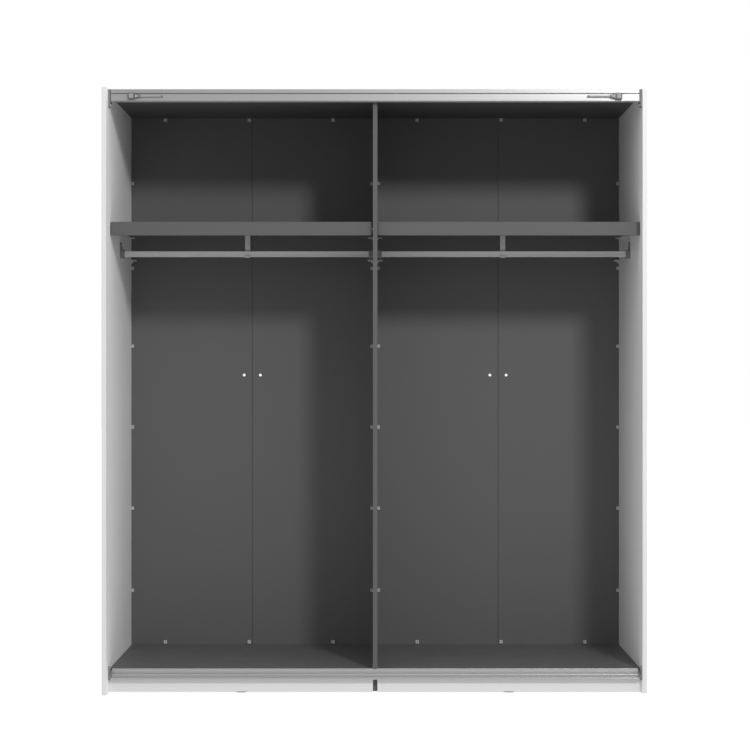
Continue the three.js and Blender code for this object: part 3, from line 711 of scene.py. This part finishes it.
def wedge(name, points, rise):
    """A slab with an outline of (x, z) points, which stands out forwards from y = 0."""
    shape = bmesh.new()
    rear = [shape.verts.new((x, 0, z)) for x, z in points]
    front = [shape.verts.new((x, -rise, z)) for x, z in points]
    shape.faces.new(rear)
    shape.faces.new(reversed(front))
    for i in range(len(points)):
        j = (i + 1) % len(points)
        shape.faces.new((rear[i], rear[j], front[j], front[i]))
    return closed_mesh(name, shape)


def make_dampers():
    for side, sign in SIDES.items():
        holder = f"damper_holder_{side}"
        front = low(holder).y
        middle = (low(holder).z + high(holder).z) / 2
        outer = max(abs(low(holder).x), abs(high(holder).x))
        block = outer - DAMPER_BLOCK_WIDTH
        block_middle = block + DAMPER_BLOCK_WIDTH / 2
        at = (sign * block_middle, front + 0.0001, middle + DAMPER_PLATE_LIFT)
        name = f"damper_plate_{side}"
        fitting(name, PLATE, "damper_insert", at, FRONT, scale=DAMPER_PLATE_SIZE)
        thin_end = sign * (block - DAMPER_NECK_LENGTH + WEB_MARGINS[0])
        wide_end = sign * (block - WEB_MARGINS[1])
        points = [
            (thin_end, middle - WEB_HALVES[0]),
            (thin_end, middle + WEB_HALVES[0]),
            (wide_end, middle + WEB_HALVES[1]),
            (wide_end, middle - WEB_HALVES[1]),
        ]
        web = wedge("web", points, WEB_RISE)
        at = (0, front + WEB_SINK, 0)
        fitting(f"damper_web_{side}", web, "damper_insert", at, UP, soft=WEB_SOFT)
        plunger = f"damper_plunger_{side}"
        tip_x = min(abs(low(plunger).x), abs(high(plunger).x))
        centre = (low(plunger) + high(plunger)) / 2
        at = (sign * tip_x, centre.y, centre.z)
        fitting(f"damper_tip_{side}", TIP, "damper_housing", at, (sign, 0, 0), body=plunger)


# Screws hold every bracket, socket and hanger. The distances are from a piece's own edges and
# from the face of the panel that it is screwed to.
SMALL_SCREW = 0.8
MIDDLE_SCREW = 0.9
TOP_RAIL_PLATE = 0.0055
TOP_RAIL_SCREW = (0.013, 0.009)  # from the bracket's front and foot
GUIDE_RAIL_PLATE = 0.0045
GUIDE_RAIL_SCREW = (0.009, 0.006)  # from the bracket's front and head
SOCKET_PLATE = 0.004
SOCKET_SCREW = 0.008  # from the socket's head
CORNER_SCREW = (0.011, 0.009)  # from the panel and from the bracket's rear
HANGER_STRAP = 0.0026
HANGER_SCREW = 0.007  # from the strap's rear
HANGER_PITCH = 0.012


def make_screw(name, at, facing, size=1.0):
    fitting(name, SCREW, "zinc_fitting", at, facing, scale=(size, size, size))


def make_screws():
    for side, sign in SIDES.items():
        inwards = (-sign, 0, 0)
        bracket = f"top_rail_bracket_{side}"
        y = low(bracket).y + TOP_RAIL_SCREW[0]
        z = low(bracket).z + TOP_RAIL_SCREW[1]
        make_screw(f"screw_top_rail_{side}", (sign * (INNER - TOP_RAIL_PLATE), y, z), inwards)
        bracket = f"guide_rail_bracket_{side}"
        y = low(bracket).y + GUIDE_RAIL_SCREW[0]
        z = high(bracket).z - GUIDE_RAIL_SCREW[1]
        at = (sign * (INNER - GUIDE_RAIL_PLATE), y, z)
        make_screw(f"screw_guide_rail_{side}", at, inwards, SMALL_SCREW)
        for place, face, towards in (("side", INNER, -sign), ("partition", PARTITION_FACE, sign)):
            socket = f"rail_socket_{side}_{place}"
            y = (low(socket).y + high(socket).y) / 2
            at = (sign * face + towards * SOCKET_PLATE, y, high(socket).z - SOCKET_SCREW)
            make_screw(f"screw_rail_{side}_{place}", at, (towards, 0, 0))
            corner = high(f"corner_bracket_{side}_{place}")
            at = (sign * face + towards * CORNER_SCREW[0], corner.y - CORNER_SCREW[1], corner.z)
            make_screw(f"screw_corner_{side}_{place}", at, UP, MIDDLE_SCREW)
        hanger = f"rail_hanger_{side}"
        x = (low(hanger).x + high(hanger).x) / 2
        z = high(hanger).z - HANGER_STRAP
        for i in range(2):
            at = (x, high(hanger).y - HANGER_SCREW - HANGER_PITCH * i, z)
            make_screw(f"screw_hanger_{side}_{i + 1}", at, DOWN, MIDDLE_SCREW)


# Cover caps over the cam fittings, on top of the top boards and under the floor boards.
CAM_FROM_END = 0.034
CAM_FROM_EDGE = 0.06


def make_caps():
    for side in SIDES:
        top = f"top_panel_{side}"
        floor = f"floor_panel_{side}"
        for node, level, facing in ((top, high(top).z, UP), (floor, low(floor).z, DOWN)):
            xs = (low(node).x + CAM_FROM_END, high(node).x - CAM_FROM_END)
            ys = (low(node).y + CAM_FROM_EDGE, high(node).y - CAM_FROM_EDGE)
            for i, (x, y) in enumerate((x, y) for x in xs for y in ys):
                fitting(f"cap_{node}_{i + 1}", CAP, "dark_fitting", (x, y, level), facing)


# Nails through the seam strips.
NAIL_ROWS = 8
NAIL_INSET = 0.006
NAIL_FROM_END = 0.03


def make_nails():
    for side in SIDES:
        near = low(f"seam_strip_{side}")
        far = high(f"seam_strip_{side}")
        start = near.z + NAIL_FROM_END
        pitch = (far.z - NAIL_FROM_END - start) / (NAIL_ROWS - 1)
        for i in range(NAIL_ROWS):
            for place, x in (("a", near.x + NAIL_INSET), ("b", far.x - NAIL_INSET)):
                at = (x, far.y, start + i * pitch)
                fitting(f"nail_{side}_{i + 1}{place}", NAIL, "zinc_fitting", at, BACK)


def make_nuts():
    """Lock nuts on the levelling feet, which move with them."""
    for side in SIDES:
        foot = f"levelling_foot_{side}"
        middle = (low(foot) + high(foot)) / 2
        fitting(f"foot_nut_{side}", NUT, "zinc_fitting", (middle.x, middle.y, 0), UP, body=foot)


make_dampers()
make_screws()
make_caps()
make_nails()
make_nuts()
make_clips()
